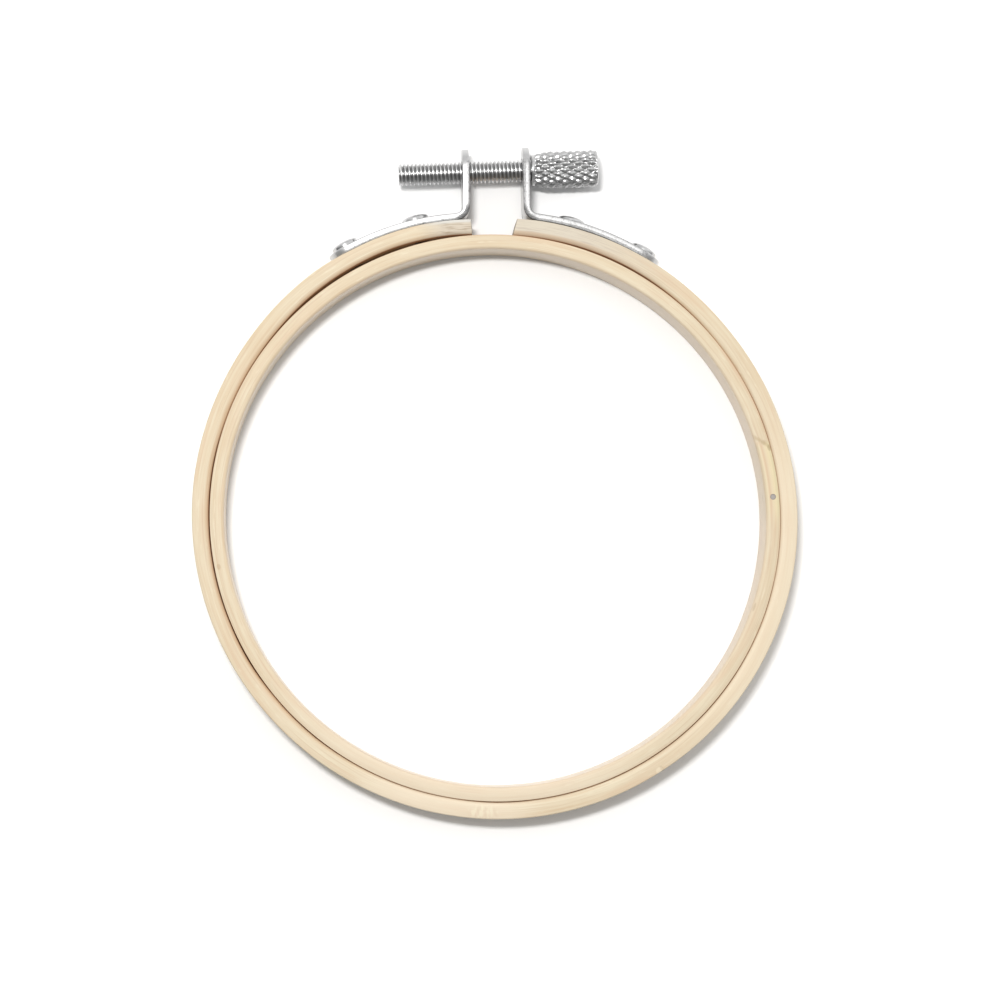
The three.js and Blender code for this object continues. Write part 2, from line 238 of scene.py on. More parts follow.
# %% Room
ROOM_TONES = [(0.0, 0.4), (0.16, 0.2), (0.36, 0.22), (0.47, 0.58), (0.62, 1.0), (1.0, 0.85)]
ROOM_LEVEL = 0.95
RIGHT_SIDE_GAIN = 1.35
world = bpy.data.worlds.new("studio")
bpy.context.scene.world = world
world.use_nodes = True
sky = world.node_tree
right, back, _ = axes_of(add_node(sky, "ShaderNodeTexCoord", output="Generated"))
tone = colour_ramp(fade(back, -1, 1, shape="LINEAR"), ROOM_TONES)
level = fade(right, 0, 0.8, ROOM_LEVEL, ROOM_LEVEL * RIGHT_SIDE_GAIN, "LINEAR")
set_inputs(sky.nodes["Background"], {"Color": tone, "Strength": level})
bpy.context.scene.view_settings.view_transform = "Standard"
print("room's nodes", len(sky.nodes))

# %% [markdown]
# ## The two rings' shape
#
# Each ring is a sawn strip of bamboo, steamed and bent round a drum, so neither is truly round.
# They are half a millimetre longer one way than the other. The outer ring is split at the top.
# It springs away from the inner one a little way from each of its ends, and its ends are
# shaved thinner where the brackets sit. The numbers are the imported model's own, in millimetres
# from the rings' centre, and angles run anticlockwise from +X.

# %% Sizes of the rings
INNER_RADIUS = 50.0
INNER_WALL = 2.55
CLOTH_GAP = 0.22
OUTER_WALL = 2.88
OUT_OF_ROUND = 0.27
LONG_AXIS = math.radians(153)
SPLIT = {-1: 4.27, 1: 3.0}  # from the middle plane to the left end and to the right end
CUT_SLANT = math.radians(11.5)
RIGHT_CUT_NEARER = 0.1
LEFT_LIFT, LEFT_LIFT_SPAN = 0.5, math.radians(62)
RIGHT_LIFT, RIGHT_LIFT_SPAN = 0.22, math.radians(52)
LEFT_SHAVE, RIGHT_SHAVE = 0.28, 0.12
SHAVE = math.radians(27), math.radians(38)  # whole until the first lean, gone at the second
QUARTER_TURN = math.pi / 2
FULL_TURN = 2 * math.pi
OUTER_BASE = INNER_RADIUS + CLOTH_GAP
LEFT_END = QUARTER_TURN + math.asin(SPLIT[-1] / OUTER_BASE)
RIGHT_END = QUARTER_TURN - math.asin((SPLIT[1] - RIGHT_CUT_NEARER) / OUTER_BASE)
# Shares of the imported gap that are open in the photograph, at angles in degrees.
SEAM = [
    (0, 0.08), (10, 0.06), (20, 0.3), (35, 0.06), (61, 0.5), (80, 0.0), (100, 0.86),
    (110, 0.76), (122, 0.42), (130, 0.38), (142, 0.0), (160, 0.28), (171, 0.8), (190, 0.78),
    (200, 0.58), (210, 0.86), (220, 0.4), (230, 0.48), (242, 0.28), (260, 0.16), (270, 0.56),
    (280, 0.38), (300, 0.52), (320, 0.47), (340, 0.24), (350, 0.08), (360, 0.08),
]
print("outer ring's ends in degrees", [round(math.degrees(a), 2) for a in (LEFT_END, RIGHT_END)])


# %% Shape of the rings
def smoothstep(value, low, high):
    share = min(max((value - low) / (high - low), 0), 1)
    return share * share * (3 - 2 * share)


def spring(from_end, span):
    """Nothing at either end of a span, and 1 a third of the way along it."""
    share = min((from_end % FULL_TURN) / span, 1)
    return 27 / 4 * share * (1 - share) ** 2


def inner_outside(angle):
    return INNER_RADIUS + OUT_OF_ROUND * math.cos(2 * (angle - LONG_AXIS))


def seam_share(angle):
    degrees = math.degrees(angle) % 360
    for (low, start), (high, end) in zip(SEAM, SEAM[1:]):
        if degrees <= high:
            return start + (end - start) * smoothstep(degrees, low, high)


def packed_inside(angle):
    lift = LEFT_LIFT * spring(angle - LEFT_END, LEFT_LIFT_SPAN)
    lift += RIGHT_LIFT * spring(RIGHT_END - angle, RIGHT_LIFT_SPAN)
    return inner_outside(angle) + CLOTH_GAP + lift


def outer_inside(angle):
    return packed_inside(angle) - CLOTH_GAP * (1 - seam_share(angle))


def wall_at(angle):
    left = 1 - smoothstep((angle - QUARTER_TURN) % FULL_TURN, *SHAVE)
    right = 1 - smoothstep((QUARTER_TURN - angle) % FULL_TURN, *SHAVE)
    return OUTER_WALL - LEFT_SHAVE * left - RIGHT_SHAVE * right


def outer_outside(angle):
    return packed_inside(angle) + wall_at(angle)


print("outer ring spans", round(2 * outer_outside(0), 2), "mm from left to right")


# %% Places round the rings
def from_centre(x, y, z):
    """A place in millimetres from the rings' centre, as metres in the model's frame."""
    return RING_CENTRE + Vector((x, y, z)) * MM


def from_polar(angle, radius, height):
    return from_centre(radius * math.cos(angle), radius * math.sin(angle), height)


def polar(point):
    """A point's angle round the rings, and its radius and height in millimetres."""
    offset = point - RING_CENTRE
    return math.atan2(offset.y, offset.x), offset.xy.length / MM, offset.z / MM


# %% [markdown]
# ## Tools for modelling
#
# Modelling by hand comes down to a few habits: nothing stays selected from before, a piece is
# worked on alone, and its place ends up in its mesh. These helpers hold those habits.


# %% Helpers for selecting and editing
def deselect():
    if bpy.context.mode != "OBJECT":
        bpy.ops.object.mode_set(mode="OBJECT")
    for obj in bpy.context.selected_objects:
        obj.select_set(False)


def work_on(obj):
    deselect()
    bpy.context.view_layer.objects.active = obj
    obj.select_set(True)


def apply_place(obj):
    """Puts a piece's place, turn and scale into its mesh."""
    work_on(obj)
    bpy.ops.object.transform_apply(location=True, rotation=True, scale=True)


def named(obj, name):
    obj.name = obj.data.name = name
    apply_place(obj)
    return obj


def edit(obj, mode="VERT"):
    work_on(obj)
    bpy.ops.object.mode_set(mode="EDIT")
    bpy.ops.mesh.select_mode(type=mode)
    bpy.ops.mesh.select_all(action="SELECT")


def leave_edit():
    bpy.ops.object.mode_set(mode="OBJECT")


def pick(obj, kind, test):
    """In edit mode, selects only the vertices or edges that pass a test."""
    bpy.ops.mesh.select_mode(type=kind)
    bpy.ops.mesh.select_all(action="DESELECT")
    mesh = bmesh.from_edit_mesh(obj.data)
    mesh.normal_update()
    picked = [part for part in {"VERT": mesh.verts, "EDGE": mesh.edges}[kind] if test(part)]
    for part in picked:
        part.select_set(True)
    bmesh.update_edit_mesh(obj.data)
    return len(picked)


def is_sharp(edge, degrees):
    return len(edge.link_faces) == 2 and edge.calc_face_angle() > math.radians(degrees)


def bevel(obj, kind, test, radius, segments):
    """Rounds the vertices or edges that pass a test by a radius in millimetres."""
    edit(obj)
    count = pick(obj, kind, test)
    affect = {"VERT": "VERTICES", "EDGE": "EDGES"}[kind]
    bpy.ops.mesh.bevel(offset=radius * MM, segments=segments, affect=affect)
    leave_edit()
    return count


# %% Helpers for whole pieces
MERGE_DISTANCE = 0.002 * MM


def tidy_skin(obj):
    """Merges doubles and turns every face outwards."""
    edit(obj)
    bpy.ops.mesh.remove_doubles(threshold=MERGE_DISTANCE)
    bpy.ops.mesh.normals_make_consistent(inside=False)
    leave_edit()


def smooth(obj, degrees):
    """Smooths all but the sharper edges of a finished piece, and prints its size."""
    work_on(obj)
    bpy.ops.object.shade_smooth_by_angle(angle=math.radians(degrees))
    size = [round(v / MM, 2) for v in obj.dimensions]
    print(obj.name, "mm", size, "faces", len(obj.data.polygons))
    return obj


def move_points(obj, rule):
    """Moves each vertex to where a rule puts it."""
    for vertex in obj.data.vertices:
        vertex.co = rule(vertex.co)
    obj.data.update()


def modify(obj, kind, **settings):
    """Adds a modifier to a piece and applies it."""
    work_on(obj)
    modifier = obj.modifiers.new("step", kind)
    for name, value in settings.items():
        setattr(modifier, name, value)
    bpy.ops.object.modifier_apply(modifier=modifier.name)


def combine(obj, operation, *others):
    """Cuts other pieces out of a piece, or adds or intersects them, and deletes them."""
    for other in others:
        modify(obj, "BOOLEAN", operation=operation, solver="EXACT", object=other)
        bpy.data.objects.remove(other)


def add_rod(start, end, radius, sides=32):
    """A cylinder from one point to another, with its radius in millimetres."""
    deselect()
    along = end - start
    bpy.ops.mesh.primitive_cylinder_add(
        vertices=sides,
        radius=radius * MM,
        depth=along.length,
        location=(start + end) / 2,
        rotation=along.to_track_quat("Z", "Y").to_euler(),
    )
    return named(bpy.context.object, "rod")


# %% Helpers for turned pieces
def draw_profile(name, points):
    """A line of edges through points in millimetres, drawn by extruding one vertex."""
    deselect()
    x, y = points[0]
    bpy.ops.mesh.primitive_plane_add(size=MM, location=(x * MM, y * MM, 0))
    obj = named(bpy.context.object, name)
    edit(obj)
    bpy.ops.mesh.merge(type="CENTER")
    for (x, y), (next_x, next_y) in zip(points, points[1:]):
        step = {"value": ((next_x - x) * MM, (next_y - y) * MM, 0)}
        bpy.ops.mesh.extrude_region_move(TRANSFORM_OT_translate=step)
    leave_edit()
    return obj


def spin_whole(obj, axis, steps, centre=(0, 0, 0)):
    edit(obj)
    bpy.ops.mesh.spin(steps=steps, angle=FULL_TURN, center=centre, axis=axis)
    leave_edit()
    tidy_skin(obj)


# %% [markdown]
# ## Grain that follows the strip
#
# Wood fibres run along a bent strip, not along X or Y. So every corner of both rings' faces
# carries its place on the strip before it was bent: how far along, how far out from the
# inner face, and how high. The bamboo's nodes read that instead of the place in space, and the
# grain stays where it is when the outer ring springs open.

# %% Helper for the grain
STRIP_CENTRE_RADIUS = 50
OPEN_STRIP_MARGIN = 0.1


def mark_strip(obj, start, inside):
    """Writes each face corner's place on the unbent strip, in millimetres."""
    mesh = obj.data
    places = mesh.attributes.new("strip", "FLOAT_VECTOR", "CORNER")
    spots = [polar(vertex.co) for vertex in mesh.vertices]
    for face in mesh.polygons:
        turned = (polar(face.center)[0] - start) % FULL_TURN
        for corner in face.loop_indices:
            angle, radius, height = spots[mesh.loops[corner].vertex_index]
            away = (angle - start - turned + math.pi) % FULL_TURN - math.pi
            along = (turned + away) * STRIP_CENTRE_RADIUS
            places.data[corner].vector = (along, radius - inside(angle), height)


# %% [markdown]
# ## Inner ring
#
# The inner ring is one strip bent to a closed hoop, its ends lapped, glued and nailed. Its
# section is a rectangle: sanded round at the inner corners, nearly sharp at the outer ones,
# where it meets the outer ring. A flat rectangle is stood on the table, its corners are
# bevelled, and it is spun once round the centre. Then each point moves out or in by the
# hoop's oval. A torus would have the wrong section, and a curve with a bevel profile would
# give less say over each corner.

# %% Inner ring: section, spun round
RING_STEPS = 360
SANDED_EDGE = 0.5, 5  # a radius and its number of segments
SEAM_EDGE = 0.15, 2


def add_section(name, inside, wall, inner_edge, outer_edge):
    """A strip's section as an open outline, standing on the table with rounded corners."""
    deselect()
    middle = from_centre(inside + wall / 2, 0, MIDDLE_Z)
    bpy.ops.mesh.primitive_plane_add(size=1, location=middle, rotation=(QUARTER_TURN, 0, 0))
    bpy.context.object.scale = (wall * MM, RING_HEIGHT * MM, 1)
    obj = named(bpy.context.object, name)
    bevel(obj, "VERT", lambda v: v.co.x < middle.x, *inner_edge)
    bevel(obj, "VERT", lambda v: v.co.x > middle.x, *outer_edge)
    edit(obj, "FACE")
    bpy.ops.mesh.delete(type="ONLY_FACE")
    leave_edit()
    return obj


inner_base = INNER_RADIUS - INNER_WALL
inner_hoop = add_section("inner_hoop", inner_base, INNER_WALL, SANDED_EDGE, SEAM_EDGE)
spin_whole(inner_hoop, (0, 0, 1), RING_STEPS, RING_CENTRE)
print("inner ring's points", len(inner_hoop.data.vertices))

# %% Inner ring: oval, and slightly uneven as sanded by hand
UNEVEN = 0.03
UNEVEN_ALONG, UNEVEN_OUT, UNEVEN_UP = 9.0, 4, 6
INNER_SEED, OUTER_SEED = 3.1, 7.7
EVEN_OUTSIDE = 0.3


def unevenness(angle, depth, height, seed):
    """A smooth random offset in millimetres that is the same on every run."""
    turn = Vector((math.cos(angle), math.sin(angle), 0)) * INNER_RADIUS / UNEVEN_ALONG
    return UNEVEN * noise(turn + Vector((0, depth / UNEVEN_OUT + seed, height / UNEVEN_UP)))


def bend_inner(point):
    angle, radius, height = polar(point)
    depth = INNER_RADIUS - radius
    radius += inner_outside(angle) - INNER_RADIUS
    if depth > EVEN_OUTSIDE:
        radius += unevenness(angle, depth, height, INNER_SEED)
    return from_polar(angle, radius, height)


move_points(inner_hoop, bend_inner)

# %% Inner ring: hole for the brad
BRAD_ANGLE = math.radians(4.2)
BRAD_INSET = 1.12
BRAD_RADIUS = 0.5
BRAD_ROOM = 0.015
BRAD_LENGTH = 7.3
BRAD_SINK = 0.05
BRAD_FOOT = RING_HEIGHT - BRAD_SINK - BRAD_LENGTH
HOLE_FOOT, HOLE_TOP = BRAD_FOOT - 0.1, RING_HEIGHT + 1
LAP_START = math.radians(15.6)


def on_brad(height):
    return from_polar(BRAD_ANGLE, inner_outside(BRAD_ANGLE) - BRAD_INSET, height)


hole = add_rod(on_brad(HOLE_FOOT), on_brad(HOLE_TOP), BRAD_RADIUS + BRAD_ROOM)
combine(inner_hoop, "DIFFERENCE", hole)
mark_strip(inner_hoop, LAP_START, lambda angle: inner_outside(angle) - INNER_WALL)
smooth(inner_hoop, degrees=40)

# %% [markdown]
# ## Outer ring
#
# The outer ring starts as the same kind of section, but it is spun only from one cut end to
# the other. Its inner corners are worn rounder than the rest, a soft slope about a millimetre
# wide, which catches less light along the top left of the hoop. The ends are closed with a
# face each, and the right one is sawn askew.

# %% Outer ring: section, spun from the left end to the right end
WORN_EDGE = 0.55, 6
OUTER_EDGE = 0.28, 4
OUTER_SPAN = RIGHT_END + FULL_TURN - LEFT_END
outer_hoop = add_section("outer_hoop", OUTER_BASE, OUTER_WALL, WORN_EDGE, OUTER_EDGE)
edit(outer_hoop)
bpy.ops.transform.rotate(value=-LEFT_END, orient_axis="Z", center_override=RING_CENTRE)
# The operator turns clockwise about an axis, so the axis points down.
bpy.ops.mesh.spin(steps=RING_STEPS, angle=OUTER_SPAN, center=RING_CENTRE, axis=(0, 0, -1))
pick(outer_hoop, "EDGE", lambda edge: edge.is_boundary)
bpy.ops.mesh.edge_face_add()
leave_edit()
tidy_skin(outer_hoop)
from_gap = [(polar(v.co)[0] - QUARTER_TURN) % FULL_TURN for v in outer_hoop.data.vertices]
ends = (math.degrees(min(from_gap)), math.degrees(max(from_gap) - FULL_TURN))
print("ends in degrees from the middle of the gap", [round(end, 2) for end in ends])

# %% Outer ring: bend it to its shape, and saw the right end askew
WORN_WIDTH = 0.85
SLANT_REACH = 5.0
SHARPER = 0.8
SHARPER_UNDER_STRAPS = math.radians(33), math.radians(42)


def place_on_outer(angle, depth, height):
    """Where a point of the plain section belongs on the bent, shaved and sawn strip."""
    worn = WORN_EDGE[0]
    if depth < worn:
        depth *= WORN_WIDTH / worn
    else:
        rest = (depth - worn) / (OUTER_WALL - worn)
        depth = WORN_WIDTH + rest * (OUTER_WALL - WORN_WIDTH)
    share = depth / OUTER_WALL
    wall = outer_outside(angle) - outer_inside(angle)
    radius = outer_inside(angle) + share * wall
    radius += unevenness(angle, depth, height, OUTER_SEED) - UNEVEN * share
    from_end = ((RIGHT_END - angle) % FULL_TURN) * radius
    askew = max(1 - from_end / SLANT_REACH, 0) if from_end < FULL_TURN * radius - 1 else 1
    angle -= math.tan(CUT_SLANT) * share * wall / radius * askew
    return from_polar(angle, radius, height)


def bend_outer(point):
    """Carries a point to its place. Under the straps the outer corners are sharper."""
    angle, radius, height = polar(point)
    depth = radius - OUTER_BASE
    share = SHARPER * (1 - smoothstep(abs(angle - QUARTER_TURN), *SHARPER_UNDER_STRAPS))
    top = RING_HEIGHT if height > MIDDLE_Z else 0
    if OUTER_WALL - depth < OUTER_EDGE[0] and abs(top - height) < OUTER_EDGE[0]:
        depth += share * (OUTER_WALL - depth)
        height += share * (top - height)
    return place_on_outer(angle, depth, height)


move_points(outer_hoop, bend_outer)

# %% Outer ring: ease the sawn ends
END_EASE = 0.12, 2
eased = bevel(outer_hoop, "EDGE", lambda edge: is_sharp(edge, degrees=60), *END_EASE)
print("edges eased at the two ends", eased)

# %% [markdown]
# ## Where the clamp's pieces sit
#
# The brackets and rivets are placed by their lean, which is the angle round the ring from the
# middle plane. Side -1 is left and 1 is right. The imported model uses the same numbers.

# %% Places on the clamp
STRAP_THICKNESS = 1.2
STRAP_WIDTH = 8.2
STRAP_GAP = {-1: 0.01, 1: 0.1}
SEAT_HEIGHT = 0.17
BEND_RADIUS = 1.25
SETBACK = {-1: 0.54, 1: 1.76}
EAR_LEAN = math.radians(1)
EAR_REACH = 4.1
END_REACH = 3.45
NEAR_RIVET = {-1: math.radians(15.05), 1: math.radians(14.35)}
FAR_RIVET = math.radians(29)
SCREW_TILT = math.radians(2.4)
SCREW_DISTANCE = 61.74
SIDE_NAMES = {-1: "left", 1: "right"}
RIVET_PLACES = {
    f"rivet_{name}_{spot}": (side, lean)
    for side, name in SIDE_NAMES.items()
    for spot, lean in (("near", NEAR_RIVET[side]), ("far", FAR_RIVET))
}


def outward(side, lean):
    return Vector((side * math.sin(lean), math.cos(lean), 0))


def ring_angle(side, lean):
    return QUARTER_TURN - side * lean


def strap_radius(side, lean):
    """The strap stands a little off the wood at the bend, and lies on it at its far end."""
    gap = STRAP_GAP[side] * (1 - smoothstep(lean, NEAR_RIVET[side], FAR_RIVET))
    return outer_outside(ring_angle(side, lean)) + gap + STRAP_THICKNESS / 2


def ear_distance(side):
    return SPLIT[side] + SETBACK[side] + STRAP_THICKNESS / 2


def hole_height(side):
    return SCREW_DISTANCE + side * ear_distance(side) * math.tan(SCREW_TILT)


for side, name in SIDE_NAMES.items():
    print(name, "ear", round(ear_distance(side), 2), "hole", round(hole_height(side), 2))

# %% Outer ring: holes and sunk seats for the rivets' tails
SHANK_RADIUS = 1.2
SHANK_ROOM = 0.06
TAIL_RADIUS = 1.8
TAIL_SINK = 0.15
TAIL_THICKNESS = 0.4
TAIL_ROOM = 0.1
SEAT_ROOM = 0.05
CUT_BEYOND = 1


def rivet_cutter(side, lean, depth, radius):
    """A rod from inside the ring to a depth in its wall."""
    inside = packed_inside(ring_angle(side, lean))
    places = [outward(side, lean) * (inside + reach) for reach in (-CUT_BEYOND, depth)]
    return add_rod(*[from_centre(place.x, place.y, MIDDLE_Z) for place in places], radius)


tail_depth = TAIL_SINK + TAIL_THICKNESS + SEAT_ROOM
for place in RIVET_PLACES.values():
    hole = rivet_cutter(*place, OUTER_WALL + CUT_BEYOND, SHANK_RADIUS + SHANK_ROOM)
    seat = rivet_cutter(*place, tail_depth, TAIL_RADIUS + TAIL_ROOM)
    combine(outer_hoop, "DIFFERENCE", hole, seat)
mark_strip(outer_hoop, LEFT_END - OPEN_STRIP_MARGIN, outer_inside)
smooth(outer_hoop, degrees=40)

# %% [markdown]
# ## Brackets
#
# Each bracket is blanked from 1.2 mm plated steel strip, punched, and bent twice: once to the
# curve of the ring, once sharply out into the ear that the screw passes through. It is made
# the same way here. A flat bar is rounded at its ends, its holes are cut, and its edges are
# bevelled, more on the side where the shear left a burr. Then cuts are made across it where it
# will bend, and each point is carried to its place along the bent centre line. The sheet is a
# little narrower where it was stretched, on the outer side of the sharp bend.

# %% Centre line of a bracket
STRAP_STATIONS = 30
BEND_STATIONS = 12


def bracket_line(side):
    """Places and normals in millimetres along a bracket, from its far end to the ear's tip."""
    bend = BEND_RADIUS + STRAP_THICKNESS / 2
    straight = ear_distance(side) + bend
    reach = strap_radius(side, straight / INNER_RADIUS) + bend
    drop = hole_height(side) - reach
    bend_lean = math.asin((straight + side * drop * math.tan(EAR_LEAN)) / reach)
    centre = outward(side, bend_lean) * reach
    end_lean = FAR_RIVET + END_REACH / strap_radius(side, FAR_RIVET)
    line = []
    for step in range(STRAP_STATIONS + 1):
        lean = end_lean + (bend_lean - end_lean) * step / STRAP_STATIONS
        line.append((outward(side, lean) * strap_radius(side, lean), outward(side, lean)))
    ear_turn = QUARTER_TURN - side * EAR_LEAN
    for step in range(1, BEND_STATIONS + 1):
        normal = outward(side, bend_lean + (ear_turn - bend_lean) * step / BEND_STATIONS)
        line.append((centre - normal * bend, normal))
    normal = outward(side, ear_turn)
    up_ear = Vector((-side * normal.y, side * normal.x, 0))
    foot = line[-1][0]
    line.append((foot + up_ear * (hole_height(side) + EAR_REACH - foot.y), normal))
    return line


def along_line(line):
    lengths = [0.0]
    for (here, _), (there, _) in zip(line, line[1:]):
        lengths.append(lengths[-1] + (there - here).length)
    return lengths


def on_line(line, lengths, run):
    """The place and normal at a length along a line."""
    index = 0
    while index < len(line) - 2 and run > lengths[index + 1]:
        index += 1
    share = (run - lengths[index]) / (lengths[index + 1] - lengths[index])
    place, normal = (a.lerp(b, share) for a, b in zip(line[index], line[index + 1]))
    return place, normal.normalized()


for side, name in SIDE_NAMES.items():
    print(name, "bracket's length", round(along_line(bracket_line(side))[-1], 2))

# %% A flat blank, rounded and punched
END_ROUNDING = 3.95, 14
RIVET_HOLE = 1.3
SCREW_HOLE = {-1: 2.0, 1: 2.2}
PUNCH_REACH = 2
PUNCH_SIDES = 40
ROLLED_EDGE = 0.04
BURRED_EDGE = 0.19
HOLE_MARGIN = 0.1
NEARLY = 0.01


def punch(run, radius):
    """A rod that stands through the flat blank, to cut a hole with."""
    low, high = (Vector((run, 0, reach)) * MM for reach in (-PUNCH_REACH, PUNCH_REACH))
    return add_rod(low, high, radius, PUNCH_SIDES)


def flat_blank(name, length, holes):
    deselect()
    bpy.ops.mesh.primitive_cube_add(size=1, location=(length / 2 * MM, 0, 0))
    bpy.context.object.scale = Vector((length, STRAP_WIDTH, STRAP_THICKNESS)) * MM
    obj = named(bpy.context.object, name)
    upright = STRAP_THICKNESS / 2 * MM
    bevel(obj, "EDGE", lambda e: abs(e.verts[0].co.z - e.verts[1].co.z) > upright, *END_ROUNDING)
    combine(obj, "DIFFERENCE", *[punch(run, radius) for run, radius in holes])
    return obj


def ease_outline(obj, holes, face, radius):
    """Bevels the outline of the blank's lower (-1) or upper (1) face, and not its holes."""

    def is_outline(edge):
        start, end = (vertex.co / MM for vertex in edge.verts)
        middle = (start + end) / 2
        at_face = abs(middle.z - face * STRAP_THICKNESS / 2) < NEARLY
        in_hole = [math.hypot(middle.x - run, middle.y) < r + HOLE_MARGIN for run, r in holes]
        level = abs(start.z - end.z) < NEARLY
        return at_face and level and not any(in_hole) and is_sharp(edge, degrees=45)

    return bevel(obj, "EDGE", is_outline, radius, 2)


# %% Cut the blanks across, and wear their edges
TORN_FROM = -0.14
TORN_SLOPE = {-1: 0.165, 1: 0.12}
TORN_END = 2.0, 3.5
NECK_FROM = 0.15
NECK_SLOPE = 0.28
NECK_REACH = 0.8, 2.2
NECK_CUTS = 1.7, 2.0, 2.3
OUTLINE_FROM = 3.5


def slice_blank(obj, stations):
    """Cuts across the blank where it will bend, and along it where its edges change."""
    cuts = [((0, 0, level * MM), (0, 0, 1)) for level in (TORN_FROM, NECK_FROM)]
    cuts += [((station * MM, 0, 0), (1, 0, 0)) for station in stations]
    edit(obj)
    for place, normal in cuts:
        bpy.ops.mesh.select_all(action="SELECT")
        bpy.ops.mesh.bisect(plane_co=place, plane_no=normal)
    leave_edit()


def wear_blank(obj, side, at_bend):
    """Narrows the torn edge and the stretched bend, and writes each point's flat place."""
    places = obj.data.attributes.new("strip", "FLOAT_VECTOR", "POINT")
    for vertex, place in zip(obj.data.vertices, places.data):
        x, y, z = vertex.co / MM
        x -= at_bend
        place.vector = (x, y, z)
        neck = 1 - smoothstep(abs(x), *NECK_REACH)
        slope = TORN_SLOPE[side] * (1 - smoothstep(x, *TORN_END))
        sink = max(TORN_FROM - z, 0) * slope * (1 - neck)
        sink += max(NECK_FROM - z, 0) * NECK_SLOPE * neck
        if abs(y) > OUTLINE_FROM:
            vertex.co.y -= math.copysign(sink * MM, y)


# %% Bend the blanks
def make_bracket(side):
    line = bracket_line(side)
    lengths = along_line(line)
    leans = [math.asin(side * normal.x) for _, normal in line[: STRAP_STATIONS + 1]]

    def run_at(lean):
        """The length along the strap at which it has a lean."""
        index = next(i for i, next_lean in enumerate(leans[1:]) if next_lean <= lean)
        share = (leans[index] - lean) / (leans[index] - leans[index + 1])
        return lengths[index] + share * (lengths[index + 1] - lengths[index])

    def bend(point):
        place, normal = on_line(line, lengths, point.x / MM)
        place = place + normal * (point.z / MM)
        return from_centre(place.x, place.y, MIDDLE_Z + point.y / MM)

    holes = [(run_at(lean), RIVET_HOLE) for lean in (NEAR_RIVET[side], FAR_RIVET)]
    holes.append((lengths[-1] - EAR_REACH, SCREW_HOLE[side]))
    obj = flat_blank("clamp_bracket_" + SIDE_NAMES[side], lengths[-1], holes)
    eased = ease_outline(obj, holes, -1, ROLLED_EDGE)
    print(obj.name, "edges eased", eased + ease_outline(obj, holes, 1, BURRED_EDGE))
    at_bend = lengths[STRAP_STATIONS + BEND_STATIONS // 2]
    slice_blank(obj, lengths[1:-1] + [at_bend + beyond for beyond in NECK_CUTS])
    wear_blank(obj, side, at_bend)
    move_points(obj, bend)
    tidy_skin(obj)
    return smooth(obj, degrees=38)


brackets = {side: make_bracket(side) for side in SIDE_NAMES}

# %% [markdown]
# ## Rivets
#
# Four dome-headed steel rivets hold the straps. The dome shows outside. Inside, the tail is
# rolled over into a flat disk, which lies just below the wood so that it can't catch the
# cloth. One outline is drawn from the tail to the dome and spun round its axis, and it is
# turned and placed four times. Each copy has its own mesh.

# %% One rivet's outline, spun
RIVET_HEAD = 2.4
RIVET_RISE = 1.08
RIVET_RIM = 0.45
HEAD_EASE = 0.06, 0.05
RIVET_SIDES = 48
DOME_STEPS = 9
# The rolled end of the tail, as radii and heights in millimetres.
ROLLED_TAIL = [(0, 0.15), (0.55, 0.15), (0.85, 0), (1.45, 0), (1.7, 0.08), (TAIL_RADIUS, 0.22)]


def rivet_outline(wall):
    seat = wall + SEAT_HEIGHT + STRAP_THICKNESS
    tail = TAIL_SINK + TAIL_THICKNESS
    points = [(radius, TAIL_SINK + rise) for radius, rise in ROLLED_TAIL]
    points += [(TAIL_RADIUS, tail), (SHANK_RADIUS, tail), (SHANK_RADIUS, seat)]
    points += [(RIVET_HEAD - HEAD_EASE[0], seat), (RIVET_HEAD, seat + HEAD_EASE[1])]
    for step in range(DOME_STEPS):
        turn = QUARTER_TURN * step / DOME_STEPS
        rise = RIVET_RIM + (RIVET_RISE - RIVET_RIM) * math.sin(turn)
        points.append((RIVET_HEAD * math.cos(turn), seat + rise))
    return points + [(0, seat + RIVET_RISE)]


def make_rivet(side, lean, name):
    angle = ring_angle(side, lean)
    obj = draw_profile(name, rivet_outline(wall_at(angle)))
    spin_whole(obj, (0, 1, 0), RIVET_SIDES)
    place = outward(side, lean) * packed_inside(angle)
    obj.rotation_euler.z = -side * lean
    obj.location = from_centre(place.x, place.y, MIDDLE_Z)
    apply_place(obj)
    return smooth(obj, degrees=35)


rivets = {node: make_rivet(*place, "dome_" + node) for node, place in RIVET_PLACES.items()}

# %% [markdown]
# ## Screw
#
# The rod has a rolled M4 thread: crests 0.7 mm apart, with flanks that lean 30 degrees each
# way and a slightly rounded crest. One pitch of the outline is drawn and the Screw modifier
# winds it into a helix. A texture of stripes would have no teeth at its edge, and the
# photograph shows each tooth. The helix is cut off square at both ends, and the left end is
# chamfered as a die leaves it.

# %% Thread
THREAD_PITCH = 0.7
THREAD_MAJOR = 1.95
THREAD_MINOR = 1.45
THREAD_DEPTH = THREAD_MAJOR - THREAD_MINOR
THREAD_SIDES = 36
THREAD_BEYOND = 11.2
KNOB_SHOULDER = 0.35
ROD_START = -(ear_distance(-1) + STRAP_THICKNESS / 2 + THREAD_BEYOND)
KNOB_START = ear_distance(1) + STRAP_THICKNESS / 2 + KNOB_SHOULDER
SPARE_TURNS = 2
# One pitch from root to root, as shares of the pitch and of the thread's depth.
TOOTH = [
    (0.0, 0.05), (0.23, 0.9), (0.28, 1.0), (0.54, 1.0), (0.59, 0.9), (0.80, 0.05),
    (0.85, 0.0), (0.95, 0.0), (1.0, 0.05),
]


